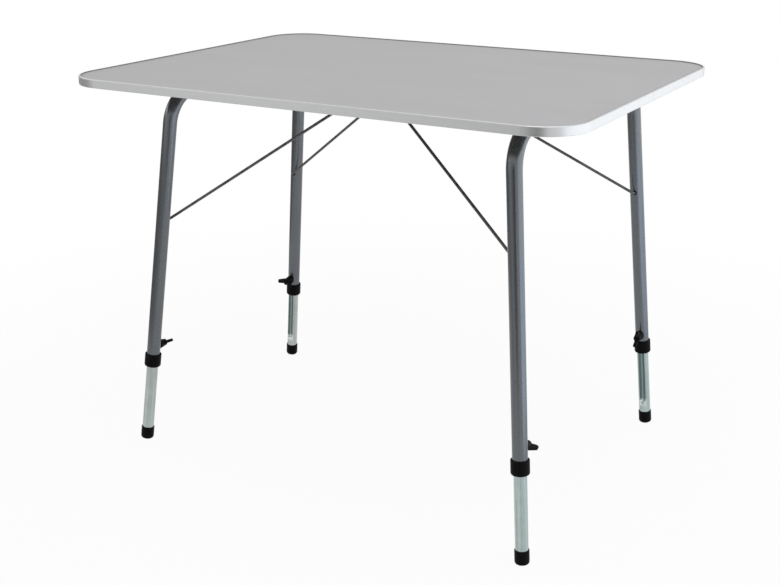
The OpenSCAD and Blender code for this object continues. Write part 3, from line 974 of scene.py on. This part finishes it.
@dataclass(frozen=True)
class LegLine:
    """One leg's frame at its clamp screw, and its hinge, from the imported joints."""

    side: Side
    row: Row

    @property
    def word(self) -> str:
        """The leg's place as it stands in the names of pieces."""
        return f"{self.side.word}_{self.row.word}"

    def local(self) -> Matrix:
        """The frame with Z up the leg, Y out along the screw and its origin on the leg's axis."""
        turn = JOINTS[f"{self.word}_knob_turn"]
        up = Vector(JOINTS[f"{self.word}_foot_slide"]["axis"]).normalized()
        out = Vector(turn["axis"]).normalized()
        local = Matrix((out.cross(up), out, up)).transposed().to_4x4()
        local.translation = turn["pos_m"]
        return local

    def corner(self) -> tuple[np.ndarray, np.ndarray]:
        """Where the leg's axis meets the crossbar's, and the direction up the leg.

        Returns:
            The corner and the unit direction.
        """
        hinge = JOINTS[f"{self.side.word}_fold"]["pos_m"]
        local = self.local()
        up = np.array(local.col[2][:3])
        start = np.array(local.translation)
        return start + up * (hinge[2] - start[2]) / up[2], up


@dataclass(frozen=True)
class BendSkin:
    """Smooth outer skin of a bend, which runs out on the straight tubes beside it.

    Attributes:
        tube_r, bend_r: the radius of the tube and that of its bend.
        lift: how far the skin stands proud on the bend, and lies sunk at its ends.
        depth: how far its inner side lies inside the tube's surface.
        run_out, lead_rings: its length on each straight, and the rings there.
        around, along: the points of a ring, and the rings of the bend.
    """

    tube_r: float = 0.01075
    bend_r: float = 0.050
    lift: float = 0.00004
    depth: float = 0.0005
    run_out: float = 0.010
    lead_rings: int = 5
    around: int = 64
    along: int = 28

    def _path(self, line: LegLine) -> tuple[np.ndarray, np.ndarray, np.ndarray, np.ndarray]:
        """The tube's axis through a bend.

        The bend's middle lies on the bisector of bar and leg. Its arc starts R / tan(a / 2)
        from the corner, where a is the angle between them, and turns through pi - a. A straight
        piece leads in and another leads out.

        Args:
            line: the leg.

        Returns:
            Points, the unit vectors away from the arc's middle, the unit vector across the
            bend's plane, and each point's distance past the arc's ends, which is negative on it.
        """
        corner, up = line.corner()
        bar = np.array([0.0, -line.row.value, 0.0])
        leg = -up
        angle = math.acos(float(bar @ leg))
        start = corner + bar * self.bend_r / math.tan(angle / 2)
        bisector = (bar + leg) / np.linalg.norm(bar + leg)
        middle = corner + bisector * self.bend_r / math.sin(angle / 2)
        first = (start - middle) / self.bend_r
        turn = np.linspace(0, math.pi - angle, self.along)[:, None]
        radial = first * np.cos(turn) - bar * np.sin(turn)
        arc = middle + self.bend_r * radial
        lead = np.linspace(self.run_out, 0, self.lead_rings + 1)[:-1, None]
        points = np.concatenate([arc[0] + bar * lead, arc, arc[-1] + leg * lead[::-1]])
        ends = [np.repeat(radial[[end]], self.lead_rings, 0) for end in (0, -1)]
        ways = np.concatenate([ends[0], radial, ends[1]])
        past = np.concatenate([lead[:, 0], np.full(self.along, -1.0), lead[::-1, 0]])
        return points, ways, np.cross(first, -bar), past

    def build(self, line: LegLine, looks: Finishes) -> None:
        """Makes one bend's skin.

        A ring's radius is the tube's plus the lift, and falls evenly to the tube's less the
        lift along each run-out. The rings come back inside the tube's wall.

        Args:
            line: the leg.
            looks: the materials.
        """
        points, ways, across, past = self._path(line)
        fall = np.clip(past / self.run_out, 0, 1)
        radius = self.tube_r + self.lift * (1 - 2 * fall)
        inner = np.full(len(points), self.tube_r - self.depth)
        order = np.concatenate([np.arange(len(points)), np.arange(len(points))[::-1]])
        reach = np.concatenate([radius, inner])[:, None, None]
        turn = np.linspace(0, 2 * np.pi, self.around, endpoint=False)[None, :, None]
        rings = points[order][:, None] + reach * (
            ways[order][:, None] * np.cos(turn) + across * np.sin(turn)
        )
        piece = skin(f"bend_{line.word}", [rings], looped=True)
        piece.data.materials.append(looks.paint)
        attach(piece, f"{line.side.word}_legs")
        LOG.info("%s in %s", piece.name, looks.paint.name)


@dataclass
class LegFrame:
    """One bent tube with its stay, collars and nuts."""

    side: Side

    def build(self, looks: Finishes) -> None:
        """Dresses the frame's pieces.

        Args:
            looks: the materials.
        """
        dress(f"{self.side.word}_leg_frame", looks.paint)
        dress(f"{self.side.word}_stay", looks.wire)
        for row in Row:
            line = LegLine(self.side, row)
            BendSkin().build(line, looks)
            dress(f"collar_{line.word}", looks.plastic)
            dress(f"clamp_nut_{line.word}", looks.paint)


@dataclass
class Foot:
    """One telescopic foot with its clamp.

    Attributes:
        side, row: the leg that it belongs to.
        knob_round: the rounding of the wing knob.
        tints: how green the zinc of each inner leg is, from 0 to 1.
    """

    side: Side
    row: Row
    knob_round: float = 0.0009
    tints: ClassVar[dict[str, float]] = {
        "left_front": 0.45, "left_rear": 0.15, "right_front": 1.0, "right_rear": 1.0,
    }

    def build(self, looks: Finishes) -> None:
        """Dresses the foot's pieces.

        Args:
            looks: the materials.
        """
        line = LegLine(self.side, self.row)
        place = line.word
        zinc = GroovedZinc(tint=self.tints[place]).material(f"zinc_leg_{place}", line.local())
        dress(f"inner_leg_{place}", zinc)
        dress(f"foot_cap_{place}", looks.plastic)
        dress(f"clamp_screw_{place}", looks.screw)
        dress(f"wing_knob_{place}", looks.plastic, self.knob_round)


@dataclass(frozen=True)
class Softbox:
    """One area lamp that faces the table."""

    name: str
    place: Triple
    size: Pair
    power: float
    colour: Triple


@dataclass(frozen=True)
class Card:
    """A standing card that only glossy pieces mirror, graded from its first end to its second.

    Attributes:
        name, ends: its name, and its two ends on the floor in X and Y.
        top: the height of its upper edge.
        light, colour: how strongly it glows at each end, and in what colour.
    """

    name: str
    ends: tuple[Pair, Pair]
    top: float
    light: Pair
    colour: Triple = (1.0, 1.0, 1.0)


@dataclass
class Studio:
    """Floor, lamps, cards, world and camera.

    The edge strip mirrors the two high cards, front_card, which darkens to the right, and
    left_card. The tubes, whose mirrored rays go down, mirror the three low ones: grey on the
    left (low_left_card and low_side_card), and bright on the right (low_right_card).
    """

    eye: Triple = (0.89743, -1.58317, 0.89334)
    azimuth: float = 29.92
    elevation: float = 19.33
    roll: float = -0.07
    lens: float = 55.17
    sensor: float = 36.0
    sight: float = 200.0
    aim: Triple = (0.0, 0.0, 0.4)
    white: Triple = (1.0, 1.0, 1.0)
    sky: float = 0.36
    floor_half: float = 30.0
    floor_colour: Triple = (0.86, 0.86, 0.86)
    floor_rough: float = 0.9
    floor_shine: float = 0.1
    floor_reach: Pair = (0.6, 1.6)
    floor_glow: Pair = (0.94, 1.0)
    lamps: tuple[Softbox, ...] = (
        Softbox("right_softbox", (1.8, 0.75, 0.62), (3.8, 1.7), 18.5, (0.92, 0.96, 1.0)),
        Softbox("top_softbox", (0.6, -0.5, 2.8), (2.4, 2.0), 33.0, (1.0, 1.0, 1.0)),
        Softbox("left_fill", (-2.6, -0.9, 1.0), (1.6, 1.6), 17.0, (1.0, 0.95, 0.90)),
    )
    cards: tuple[Card, ...] = (
        Card("front_card", ((-0.58, -1.42), (1.0, -1.42)), 0.85, (0.93, 0.05)),
        Card("left_card", ((-1.55, -1.15), (-1.55, 0.75)), 0.85, (0.3, 0.3)),
        Card("low_left_card", ((-1.0, -0.75), (0.02, -0.75)), 0.40, (0.30, 0.65)),
        Card("low_side_card", ((-1.0, 0.6), (-1.0, -0.75)), 0.38, (0.30, 0.30)),
        Card(
            "low_right_card", ((0.95, -0.40), (0.75, 0.85)), 0.36, (2.25, 1.55),
            colour=(0.84, 0.95, 1.10),
        ),
    )

    def build(self) -> None:
        """Builds the whole studio."""
        self._camera()
        self._world()
        self._floor()
        for lamp in self.lamps:
            self._hang(lamp)
        for card in self.cards:
            self._stand(card)

    def _add(self, name: str, data: bpy.types.ID) -> bpy.types.Object:
        """Adds an object to the scene.

        Args:
            name: the object's name.
            data: its mesh, lamp or camera.

        Returns:
            The object.
        """
        made = bpy.data.objects.new(name, data)
        bpy.context.scene.collection.objects.link(made)
        return made

    def _panel(self, name: str, corners: list[Triple]) -> bpy.types.Object:
        """Adds one flat panel that isn't part of the table.

        Args:
            name: the panel's name.
            corners: its four corners in turn.

        Returns:
            The object.
        """
        mesh = bpy.data.meshes.new(name)
        mesh.from_pydata(corners, [], [(0, 1, 2, 3)])
        panel = self._add(name, mesh)
        return panel

    def _camera(self) -> None:
        """Places the camera at the photograph's viewing angle."""
        az, el = math.radians(self.azimuth), math.radians(self.elevation)
        flat = math.cos(el)
        ahead = Vector((-math.sin(az) * flat, math.cos(az) * flat, -math.sin(el)))
        data = bpy.data.cameras.new("view")
        data.sensor_fit = "HORIZONTAL"
        data.sensor_width = self.sensor
        data.lens = self.lens
        data.clip_end = self.sight
        camera = self._add("view", data)
        turn = ahead.to_track_quat("-Z", "Y").to_matrix().to_4x4()
        roll = Matrix.Rotation(math.radians(self.roll), 4, "Z")
        camera.matrix_world = Matrix.Translation(self.eye) @ turn @ roll
        bpy.context.scene.camera = camera

    def _world(self) -> None:
        """Makes a white background over an even, weaker light."""
        world = bpy.data.worlds.new("studio")
        bpy.context.scene.world = world
        world.use_nodes = True
        nodes = Nodes(world.node_tree)
        back = nodes.tree.nodes["Background"]
        back.inputs["Color"].default_value = rgba(self.white)
        strength = nodes.seen() * (1.0 - self.sky) + self.sky
        nodes.tree.links.new(strength.out, back.inputs["Strength"])

    def _floor(self) -> None:
        """Makes a pale floor that keeps the table's shadow and turns white further out."""
        half = self.floor_half
        corners = [(-half, -half, 0), (half, -half, 0), (half, half, 0), (-half, half, 0)]
        floor = self._panel("floor", corners)
        look = {"Roughness": self.floor_rough, "Specular IOR Level": self.floor_shine}
        paint = Painter("pale_floor", {"Base Color": rgba(self.floor_colour), **look})
        away = paint.vector("LENGTH", {0: paint.place()}, "Value")
        share = paint.step(away, self.floor_reach, to=self.floor_glow) * paint.seen()
        glow = paint.node("ShaderNodeEmission", {}, {"Color": rgba(self.white), "Strength": 1.0})
        plain = Socket(paint, paint.shader.outputs[0])
        paint.surface(paint.node("ShaderNodeMixShader", {}, {0: share, 1: plain, 2: glow}))
        floor.data.materials.append(paint.material)

    def _hang(self, softbox: Softbox) -> None:
        """Hangs one softbox, which points its -Z at the table.

        Args:
            softbox: its place, size and light.
        """
        data = bpy.data.lights.new(softbox.name, "AREA")
        data.shape = "RECTANGLE"
        data.size, data.size_y = softbox.size
        data.energy = softbox.power
        data.color = softbox.colour
        lamp = self._add(softbox.name, data)
        lamp.visible_camera = False
        place = Vector(softbox.place)
        turn = (Vector(self.aim) - place).to_track_quat("-Z", "Y").to_matrix().to_4x4()
        lamp.matrix_world = Matrix.Translation(place) @ turn

    def _stand(self, card: Card) -> None:
        """Stands one card beside the table.

        Args:
            card: its place, height and light.
        """
        (x0, y0), (x1, y1) = card.ends
        board = self._panel(
            card.name, [(x0, y0, 0), (x1, y1, 0), (x1, y1, card.top), (x0, y0, card.top)]
        )
        board.visible_camera = False
        board.visible_shadow = False
        board.visible_diffuse = False
        paint = Painter(card.name, {})
        start, along = Vector((x0, y0, 0)), Vector((x1 - x0, y1 - y0, 0))
        way = paint.vector("DOT_PRODUCT", {0: paint.place(), 1: along}, "Value")
        light = paint.step(way, (0.0, along.length_squared), start.dot(along), card.light)
        look = {"Color": rgba(card.colour), "Strength": light}
        paint.surface(paint.node("ShaderNodeEmission", {}, look))
        board.data.materials.append(paint.material)


def main() -> None:
    """Builds the table's looks and the studio, in order."""
    logging.basicConfig(level=logging.INFO, format="%(name)s: %(message)s")
    bpy.context.scene.view_settings.view_transform = "Standard"
    looks = Finishes()
    TableTop().build(looks)
    for side in Side:
        LegFrame(side).build(looks)
        for row in Row:
            Foot(side, row).build(looks)
    Studio().build()


if __name__ == "__main__":
    main()
